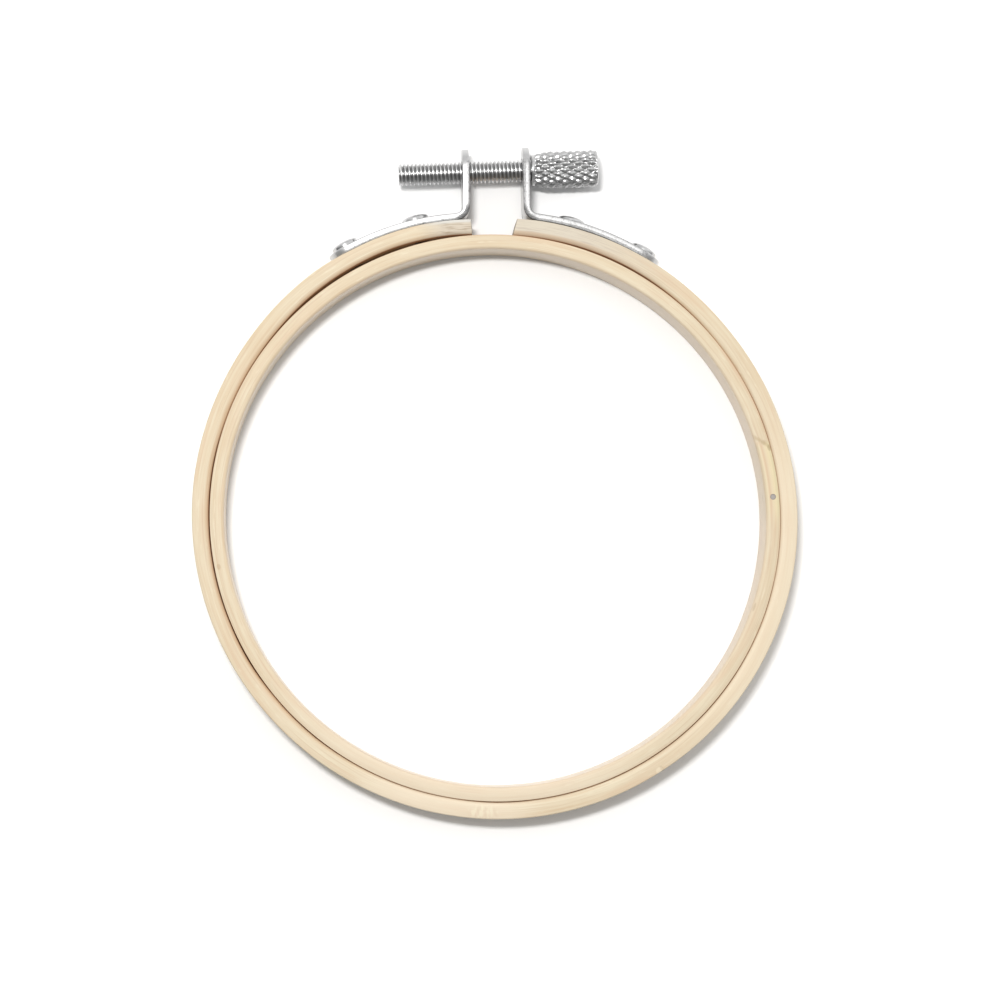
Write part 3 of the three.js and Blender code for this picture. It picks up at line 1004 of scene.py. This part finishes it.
def close_end(obj, left):
    """Draws the loop at one end of the helix together to a point on the rod's axis."""
    middle = (ROD_START + KNOB_START) / 2 * MM
    edit(obj)
    pick(obj, "EDGE", lambda e: e.is_boundary and (e.verts[0].co.x < middle) == left)
    bpy.ops.mesh.extrude_region_move()
    bpy.ops.mesh.merge(type="CENTER")
    leave_edit()


tooth = [(share * THREAD_PITCH, THREAD_MINOR + rise * THREAD_DEPTH) for share, rise in TOOTH]
screw_rod = draw_profile("thumb_screw_rod", tooth)
screw_rod.location.x = (ROD_START - THREAD_PITCH) * MM
apply_place(screw_rod)
modify(
    screw_rod,
    "SCREW",
    axis="X",
    angle=FULL_TURN,
    screw_offset=THREAD_PITCH * MM,
    iterations=math.ceil((KNOB_START - ROD_START) / THREAD_PITCH) + SPARE_TURNS,
    steps=THREAD_SIDES,
    render_steps=THREAD_SIDES,
    use_merge_vertices=True,
    merge_threshold=MERGE_DISTANCE,
)
tidy_skin(screw_rod)
close_end(screw_rod, True)
close_end(screw_rod, False)
tidy_skin(screw_rod)
print("points of the helix", len(screw_rod.data.vertices))

# %% Cut the rod to length, and add the plain shank inside the knob
STOCK_RADIUS = THREAD_MAJOR + 0.15
STOCK_SIDES = 64
ROD_CHAMFER = 0.22
SHANK_IN_KNOB = 1.7
SHANK_LENGTH = 10.2
SHANK_OVERLAP = 0.3


def on_axis(x):
    return Vector((x * MM, 0, 0))


def place_on_screw(obj, start=0.0):
    """Carries a piece from the X axis to its place along the screw."""
    along = Vector((math.cos(SCREW_TILT), math.sin(SCREW_TILT), 0))
    obj.rotation_euler.z = SCREW_TILT
    obj.location = from_centre(0, SCREW_DISTANCE, MIDDLE_Z) + along * start * MM
    apply_place(obj)


left_rim = (ROD_START + ROD_CHAMFER) * MM
stock = add_rod(on_axis(ROD_START), on_axis(KNOB_START), STOCK_RADIUS, STOCK_SIDES)
bevel(stock, "EDGE", lambda e: max(v.co.x for v in e.verts) < left_rim, ROD_CHAMFER, 1)
combine(screw_rod, "INTERSECT", stock)
shank_ends = on_axis(KNOB_START - SHANK_OVERLAP), on_axis(KNOB_START + SHANK_LENGTH)
combine(screw_rod, "UNION", add_rod(*shank_ends, SHANK_IN_KNOB))
tidy_skin(screw_rod)
heights = screw_rod.data.attributes.new("thread", "FLOAT", "POINT")
for vertex, height in zip(screw_rod.data.vertices, heights.data):
    height.value = (math.hypot(vertex.co.y, vertex.co.z) / MM - THREAD_MINOR) / THREAD_DEPTH
place_on_screw(screw_rod)
smooth(screw_rod, degrees=25)

# %% [markdown]
# ## Knob
#
# The knob is a turned steel cap, pressed over the rod's plain end. Its grip is a coarse crossed
# knurl, pressed in by two wheels: grooves run round it both ways and leave diamonds, 16 in a
# ring and 2.4 mm apart along it. The outline is spun first, with enough rows and columns to
# carry the diamonds, and then every point of the grip is pressed in by its distance from the
# nearest grooves. Real knurled edges are bruised, so the diamonds are uneven.

# %% Knob: outline, spun
KNOB_LENGTH = 12.0
KNOB_RADIUS = 3.3
KNOB_NOSE = 2.75
NOSE_LENGTH = 3.0
NOSE_EASE = 0.06, 0.12
KNOB_CORNER = 0.7
KNOB_FACE = 2.45
KNOB_HOLLOW = 1.2, 0.1
BORE_RADIUS = 1.8
BORE_DEPTH = 10.4
BORE_CHAMFER = 0.15
GRIP_START = 0.2
KNURL_STARTS = 16
KNURL_PITCH = 2.4
KNURL_DEPTH = 0.42
KNURL_COLUMNS = KNURL_STARTS * 14
KNURL_ROWS = 110


def knob_radius(x):
    body = KNOB_NOSE + (KNOB_RADIUS - KNOB_NOSE) * smoothstep(x, 0, NOSE_LENGTH)
    from_end = max(KNOB_CORNER - (KNOB_LENGTH - x), 0)
    return body - KNOB_CORNER + math.sqrt(KNOB_CORNER**2 - min(from_end, KNOB_CORNER) ** 2)


def knob_outline():
    points = [(BORE_DEPTH, 0), (BORE_DEPTH, BORE_RADIUS), (BORE_CHAMFER, BORE_RADIUS)]
    points += [(0, BORE_RADIUS + BORE_CHAMFER), (0, KNOB_FACE)]
    points.append((NOSE_EASE[0], knob_radius(0) - NOSE_EASE[1]))
    for row in range(KNURL_ROWS):
        x = GRIP_START + (KNOB_LENGTH - GRIP_START) * row / KNURL_ROWS
        points.append((x, knob_radius(x)))
    hollow, deep = KNOB_HOLLOW
    return points + [(KNOB_LENGTH, KNOB_FACE), (KNOB_LENGTH, hollow), (KNOB_LENGTH - deep, 0)]


knob = draw_profile("thumb_screw_knob", knob_outline())
spin_whole(knob, (1, 0, 0), KNURL_COLUMNS)
print("knob's points", len(knob.data.vertices))

# %% Knob: press the knurl in
KNURL_FROM = 0.1, KNOB_FACE - 0.05
KNURL_FADE_IN = 0.3, 1.0
KNURL_FADE_OUT = 0.15, 0.7
GROOVE_POWER = 1.7
BRUISE = 0.05
BRUISE_SCALES = 2.2, 0.9


def near_groove(turns):
    """0 in the middle of a groove, 1 halfway between two."""
    return abs(turns % 1 - 0.5) * 2


knurl = knob.data.attributes.new("knurl", "FLOAT", "POINT")
for vertex, height in zip(knob.data.vertices, knurl.data):
    place = vertex.co / MM
    x, y, z = place
    radius = math.hypot(y, z)
    if x < KNURL_FROM[0] or radius < KNURL_FROM[1]:
        continue
    around = KNURL_STARTS * math.atan2(z, y) / FULL_TURN
    rise = 1.0
    for turns in (around + x / KNURL_PITCH, around - x / KNURL_PITCH):
        rise *= 1 - (1 - near_groove(turns)) ** GROOVE_POWER
    grip = smoothstep(x, *KNURL_FADE_IN) * smoothstep(KNOB_LENGTH - x, *KNURL_FADE_OUT)
    bruise = sum(BRUISE * noise(place * scale) for scale in BRUISE_SCALES)
    new_radius = radius - grip * (KNURL_DEPTH * (1 - rise) - bruise)
    vertex.co = Vector((x, y * new_radius / radius, z * new_radius / radius)) * MM
    height.value = 1 - grip * (1 - rise)
place_on_screw(knob, KNOB_START)
smooth(knob, degrees=22)

# %% [markdown]
# ## Brad
#
# A thin steel nail goes down through the lap of the inner ring. Only its end shows, a dull
# grey dot. It is drawn as an outline and spun.

# %% Brad
BRAD_POINT = 1.2
BRAD_EASE = 0.03, 0.04
BRAD_SIDES = 24
outline = [(0, 0), (BRAD_RADIUS, BRAD_POINT), (BRAD_RADIUS, BRAD_LENGTH - BRAD_EASE[1])]
outline += [(BRAD_RADIUS - BRAD_EASE[0], BRAD_LENGTH), (0, BRAD_LENGTH)]
brad = draw_profile("lap_brad", outline)
spin_whole(brad, (0, 1, 0), BRAD_SIDES)
brad.rotation_euler.x = QUARTER_TURN
brad.location = on_brad(BRAD_FOOT)
apply_place(brad)
smooth(brad, degrees=35)

# %% [markdown]
# ## Materials
#
# Bamboo split from the stalk shows fine straight fibres, broad bands where one year's fibres
# lie denser, and cloudy changes between cream, yellow and pink-tan. Nothing in it is glossy
# except the inner wall, which the bending drum polished. All of it is noise, stretched a long
# way along the strip and hardly at all across it, with the sizes given in millimetres.


# %% Helpers for patterns
def noise_at(place, size, detail=2.0, roughness=0.5):
    """Noise from 0 to 1 whose lumps have a size along each axis, in the place's own unit."""
    scale = [1 / length for length in size]
    scaled = place.add("ShaderNodeVectorMath", {1: scale}, operation="MULTIPLY")
    inputs = {"Scale": 1.0, "Detail": detail, "Roughness": roughness}
    return scaled.add("ShaderNodeTexNoise", inputs)


def patches(place, size, start, end, strength, detail=2.0):
    """Shares that grow to a strength while the noise goes from start to end."""
    return fade(noise_at(place, size, detail), start, end, 0, strength)


def paint(tone, share, cover):
    """Covers a tone by a share, with a hex colour or with another tone."""
    cover = colour(cover) if isinstance(cover, str) else cover
    return tone.add("ShaderNodeMix", {0: share, 6: tone, 7: cover}, output=2, data_type="RGBA")


def soft_mark(along, across, middle, reach, strength):
    """How much of a mark shows: a soft ellipse on the strip, given in millimetres."""
    places = zip((along, across), middle, reach)
    x, y = ((value - centre) / length for value, centre, length in places)
    return fade((x * x + y * y).calculate("SQRT"), 1.3, 0.7, 0, strength)


def paint_marks(tone, along, across, on_top, marks):
    """Paints marks on a ring's upper face, from their middles, reaches, strengths and colours."""
    for middle, reach, strength, code in marks:
        tone = paint(tone, soft_mark(along, across, middle, reach, strength) * on_top, code)
    return tone


def shade_in_seam(tone, near_seam, up):
    """Paints shade brown where the rings face each other across the seam, most of all along its
    edges.
    """
    return paint(tone, near_seam * fade(abs(up - MIDDLE_Z), 1.4, 3.2, 0.25, 0.8), "#b98f6c")


def upper_face(up):
    return fade(up, RING_HEIGHT - 0.6, RING_HEIGHT - 0.1)


# %% Bamboo, common to both rings
WOOD_TONES = [(0.3, "#c2aa8c"), (0.42, "#cab799"), (0.52, "#cebfa4"), (0.62, "#d4c8ae")]
FIBRE_SIZE = (26, 0.34, 0.34)
BAND_SIZE = (70, 1.1, 2.4)
CLOUD_SIZE = (8, 2.6, 3.0)
STREAK_SIZE = (4.5, 0.22, 0.22)


def bamboo(name, seed):
    """Gives pale, nearly matt split bamboo, with its fibres along the strip."""
    material, tree, shader = new_material(name)
    strip = add_node(tree, "ShaderNodeAttribute", output="Vector", attribute_name="strip")
    place = strip.add("ShaderNodeVectorMath", {1: (seed, 0, seed)}, operation="ADD")
    fibres = noise_at(place, FIBRE_SIZE, 3.0, 0.6)
    blend = fibres * 0.34 + noise_at(place, BAND_SIZE, 1.0) * 0.26
    blend += noise_at(place, CLOUD_SIZE) * 0.2 + noise_at(place, STREAK_SIZE, 2.0, 0.6) * 0.2
    tone = colour_ramp(blend, WOOD_TONES)
    tone = paint(tone, patches(place, (16, 1.6, 2.2), 0.5, 0.72, 0.5), "#cab093")
    tone = paint(tone, patches(place, (3.2, 0.5, 0.6), 0.62, 0.74, 0.4), "#ddd3bb")
    tone = paint(tone, patches(place, (11, 0.16, 0.2), 0.55, 0.68, 0.3, 1.0), "#b6997c")
    bump = {"Strength": 0.25, "Distance": 0.03 * MM, "Height": fibres}
    normal = add_node(tree, "ShaderNodeBump", bump)
    set_inputs(shader, {"Normal": normal, "Roughness": 0.55, "Specular IOR Level": 0.35})
    return material, shader, strip, tone


# %% Bamboo of the inner ring
LAP_LENGTH = 14.2
HALF_STRIP = math.pi * STRIP_CENTRE_RADIUS
LAP_TONES = [
    (0.10, "#bdb08f"), (0.24, "#d6c8a9"), (0.38, "#c8ad8f"),
    (0.56, "#d4c4a6"), (0.74, "#d9cba5"), (0.92, "#cbc19c"),
]
INNER_MARKS = [
    ((0.0, 1.6), (0.45, 0.55), 0.16, "#8c7450"),
    ((-1.2, 2.3), (0.55, 0.35), 0.32, "#8c7450"),
    ((HALF_STRIP - 4.5, 1.8), (0.5, 0.35), 0.3, "#9a744a"),
    ((-30.4, 0.4), (0.8, 0.2), 0.35, "#957b5a"),
]
inner_wood, shader, strip, tone = bamboo("split_bamboo_inner_ring", seed=0)
along, across, up = axes_of(strip)
along = along.calculate("WRAP", HALF_STRIP, -HALF_STRIP)
on_top = upper_face(up)

# The lap of the strip's two ends shows both strips' growth bands side by side.
in_lap = fade(along, -1.15 * LAP_LENGTH, -0.8 * LAP_LENGTH) * fade(along, 0.4, -0.6, 0, 0.75)
tone = paint(tone, in_lap, colour_ramp(across / INNER_WALL, LAP_TONES))

# The node where the branches were leaves a wavy brown line across the strip.
wave = noise_at(across.add("ShaderNodeCombineXYZ", {0: 0, 1: across}), (1, 0.7, 1))
from_line = abs(along + across * 1.15 - wave * 1.2 - 1.15)
tone = paint(tone, fade(from_line, 0.75, 0.1, 0, 0.38) * on_top, "#a08a64")
# A stretch at the bottom of the hoop is painted paler.
tone = paint(tone, fade(abs(along + 100), 42, 16, 0, 0.5), "#dacbb5")
tone = paint_marks(tone, along, across, on_top, INNER_MARKS)

# %% Inner ring's wall and seam
# The drum polished the inner wall, which is paler and greyer than the rest.
on_wall = fade(across, 0.45, 0.1)
tone = paint(tone, on_wall * 0.6, "#c9b59c")
tone = paint(tone, on_wall * patches(strip, (9, 1, 0.5), 0.58, 0.72, 0.35), "#a89a86")
tone = paint(tone, on_wall * soft_mark(along, up, (-10.0, 5.6), (0.9, 0.12), 0.7), "#6e5a44")
# Painted shade: the inner ring's face in the seam is browned.
tone = shade_in_seam(tone, fade(across, INNER_WALL - 0.12, INNER_WALL - 0.02), up)
gloss = {"Roughness": fade(on_wall, 0, 1, 0.55, 0.32)}
gloss["Specular IOR Level"] = fade(on_wall, 0, 1, 0.35, 0.9)
set_inputs(shader, {"Base Color": tone, **gloss})
dress(inner_hoop, inner_wood)
print("inner ring's nodes", len(inner_wood.node_tree.nodes))

# %% Bamboo of the outer ring
OUTER_LENGTH = OUTER_SPAN * STRIP_CENTRE_RADIUS
OUTER_MARKS = [
    ((181.4, 2.6), (0.6, 0.55), 0.5, "#e2d6bd"),
    ((181.9, 2.5), (0.25, 0.5), 0.2, "#8c7552"),
]
outer_wood, shader, strip, tone = bamboo("split_bamboo_outer_ring", seed=350)
along, across, up = axes_of(strip)
along = along - OPEN_STRIP_MARGIN * STRIP_CENTRE_RADIUS
from_right = along * -1 + OUTER_LENGTH
on_top = upper_face(up)

# The rounded inner edge is painted browner along the left half, as painted shade where its slope
# turns from the light.
inner_edge_shade = fade(abs(along - 62), 75, 35) * fade(across, 0.9, 0.1, 0, 0.45)
tone = paint(tone, inner_edge_shade, "#b58a62")

# Two stretches of the strip, at the bottom and at the right of the hoop, are painted paler.
for middle, reach, code in ((144, 20, "#dacbb5"), (219, 42, "#dccdb4")):
    tone = paint(tone, fade(abs(along - middle), reach, reach * 0.35, 0, 0.6), code)

# The left end has fine grey streaks where a blunt saw tore the fibres.
near_left = fade(along, 10, 4)
tone = paint(tone, near_left * 0.75, "#bfb5a6")
tone = paint(tone, near_left * patches(strip, (2.6, 0.16, 0.4), 0.52, 0.66, 0.6), "#8f7a60")
tone = paint(tone, near_left * fade(across, 1.9, 2.4, 0, 0.6), "#d0d2d0")

# The right end is paler and greyer. Along its inner edge a tan margin is painted shade on the
# rounded corner.
near_right = fade(from_right, 32, 9, 0, 0.9)
tone = paint(tone, near_right, "#c6bdac")
tone = paint(tone, near_right * patches(strip, (4.5, 0.13, 0.4), 0.5, 0.64, 0.5), "#a5958a")
tone = paint(tone, near_right * fade(across, 1.05, 0.6), "#bea88e")

# %% Outer ring's sawn faces, node, splinter and seam
# Both sawn faces show grey-brown end grain.
for from_cut in (from_right - across * (0.95 * math.tan(CUT_SLANT)), along):
    tone = paint(tone, fade(from_cut, 0.12, 0.06, 0, 0.9), "#8f8778")

# A node at the bottom of the hoop shows as pale ripples across the strip.
ripples = noise_at(strip, (0.55, 1.4, 2.0), 1.0)
at_node = soft_mark(along, across, (150.6, 1.9), (2.5, 1.3), 0.6) * on_top
tone = paint(tone, at_node * fade(ripples, 0.45, 0.62), "#dcd3b9")
tone = paint(tone, at_node * fade(ripples, 0.48, 0.36, 0, 0.2), "#ac9878")

# A splinter has broken from the upper edge at the lower right, and shows paler wood.
tone = paint_marks(tone, along, across, on_top, OUTER_MARKS)
# Painted shade: the outer ring's face in the seam is browned.
tone = shade_in_seam(tone, fade(across, 0.12, 0.02) * fade(along, 0, 0.4), up)
set_inputs(shader, {"Base Color": tone})
dress(outer_hoop, outer_wood)
print("outer ring's nodes", len(outer_wood.node_tree.nodes))

# %% [markdown]
# ## Metals
#
# The brackets and rivets are nickel-plated and a little dull from handling. Each bracket was
# sheared from sheet, so its edges have two zones: a bright band where the blade cut, and a
# rough grey one where the metal tore. Their bevelled edges and bends are painted darker as shade.
# The screw is plated too. The roots of its thread and the grooves of its knurl are painted
# darker as shade, and the knurl has bruises.

# %% Plated strip of the brackets
bracket_metal, tree, shader = new_material("nickel_plated_sheet_steel")
place = add_node(tree, "ShaderNodeAttribute", output="Vector", attribute_name="strip")
from_bend, sideways, through = axes_of(place)
on_edge = fade(abs(sideways), 3.75, 3.95)
torn = on_edge * fade(through, TORN_FROM + 0.06, TORN_FROM - 0.06)
grit = noise_at(place, (0.35, 0.35, 0.22), 3.0, 0.6)
clouds = noise_at(place, (3.5, 3.0, 1.0), 3.0)
plate = colour_ramp(clouds, [(0.3, "#c2c2c2"), (0.7, "#d2d2d2")])
plate = paint(plate, torn * fade(grit, 0.52, 0.66, 0, 0.7), "#545454")

# The right bracket is duller than the left, with fine specks all over its edge.
rightward, _, _ = axes_of(add_node(tree, "ShaderNodeTexCoord", output="Object"))
on_right = fade(rightward, 0, 1 * MM)
dull = on_right * on_edge
plate = paint(plate, dull * 0.5, "#9c9c9c")
torn_share = torn * fade(on_right, 0, 1, 0.24, 0.04) * fade(from_bend, 2.5, 0.5, 0.2)
plate = paint(plate, torn_share, "#5a5a5a")
plate = paint(plate, dull * patches(place, (0.22, 0.22, 0.22), 0.52, 0.64, 0.5), "#6e6e6e")

# At the bend the stretched, tilted edge is painted darker as shade, with a few dark slanting
# lines across it.
slanting = (from_bend + through * 1.4).add("ShaderNodeCombineXYZ", {})
at_bend = fade(abs(from_bend), 2.0, 0.8)
bend_shade = at_bend * fade(through, 0.25, 0) * on_edge
plate = paint(plate, bend_shade * 0.5, "#6a6a6a")
plate = paint(plate, bend_shade * patches(slanting, (0.22, 1, 1), 0.5, 0.6, 0.8, 1.0), "#3c3c3c")

# The bevels along both edges are painted darker as shade, a dark outline that is strongest at the
# bend.
edge_outline_shade = fade(abs(through), 0.47, 0.56) * on_edge * fade(at_bend, 0, 1, 0.5, 0.85)
plate = paint(plate, edge_outline_shade, "#505050")
gloss = clouds * 0.14 + 0.3 + torn * 0.15 + dull * 0.16
bump = {"Strength": 0.4, "Distance": 0.04 * MM, "Height": grit * torn}
steel = {"Base Color": plate, "Roughness": gloss, "Metallic": 1.0}
set_inputs(shader, {"Normal": add_node(tree, "ShaderNodeBump", bump), **steel})
for bracket in brackets.values():
    dress(bracket, bracket_metal)
print("brackets' nodes", len(tree.nodes))


# %% Rivets, brad, screw and knob
def turned_metal(name, tones, roughness, size, recess_shade=None):
    """Gives bare steel with slightly cloudy gloss, and painted shade where an attribute is low,
    as in recesses.
    """
    material, tree, shader = new_material(name)
    place = add_node(tree, "ShaderNodeTexCoord", output="Object")
    clouds = noise_at(place, [size * MM] * 3, 3.0)
    shade = colour_ramp(clouds, [(0.3, tones[0]), (0.7, tones[1])])
    # Painted shade: where the attribute is low, in the thread's roots or the knurl's grooves, the
    # steel is painted darker.
    if recess_shade:
        attribute, start, end, code = recess_shade
        height = add_node(tree, "ShaderNodeAttribute", output="Fac", attribute_name=attribute)
        shade = paint(shade, fade(height, start, end, 0, 0.5), code)
    gloss = clouds * 0.16 + (roughness - 0.08)
    set_inputs(shader, {"Base Color": shade, "Roughness": gloss, "Metallic": 1.0})
    return material


# Painted shade in the thread's roots and in the knurl's grooves.
ROOT_SHADE = "thread", 0.55, 0.15, "#5e5e5e"
GROOVE_SHADE = "knurl", 0.5, 0.05, "#666666"
rivet_metal = turned_metal("nickel_plated_rivet_steel", ("#bebebe", "#cecece"), 0.2, 1.6)
for rivet in rivets.values():
    dress(rivet, rivet_metal)
dress(brad, turned_metal("dull_brad_steel", ("#8d8884", "#a09b97"), 0.6, 0.4))
name, tones = "nickel_plated_screw_steel", ("#cacaca", "#d8d8d8")
dress(screw_rod, turned_metal(name, tones, 0.3, 1.2, ROOT_SHADE))
name, tones = "nickel_plated_knurled_steel", ("#c2c2c2", "#d0d0d0")
dress(knob, turned_metal(name, tones, 0.29, 0.7, GROOVE_SHADE))
print("materials", sorted(material.name for material in bpy.data.materials))

# %% [markdown]
# ## What moves with what
#
# The left bracket and its rivets stay with the outer ring's left end. The right bracket and
# its rivets slide along the screw, the rod and knob turn, and the inner ring lifts out with
# its brad. Each detailed piece stands for one imported solid and moves with the same body.
#
# The outer ring is put on no body here: its place is put into its mesh, and its imported solid
# is hidden.

# %% Pieces on their bodies
STANDS_FOR = [
    (inner_hoop, "inner_ring", "lift_out_ring", "inner_bamboo"),
    (brad, "inner_ring_pin", "lift_out_ring", "brad_steel"),
    (brackets[-1], "bracket_left", "outer_frame", "plated_strip"),
    (brackets[1], "bracket_right", "right_end", "plated_strip"),
    (screw_rod, "screw_rod", "thumb_screw", "screw_steel"),
    (knob, "screw_knob", "thumb_screw", "knob_steel"),
]
for node, (side, _) in RIVET_PLACES.items():
    body = "outer_frame" if side < 0 else "right_end"
    STANDS_FOR.append((rivets[node], node, body, "plated_rivet"))
for piece, node, body, slot in STANDS_FOR:
    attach(piece, body)
    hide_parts(node)
print("pieces that ride", len(STANDS_FOR))

# %% The outer ring: its place put into its mesh, its imported solid hidden
deselect()
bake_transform(outer_hoop)
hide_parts("outer_ring")
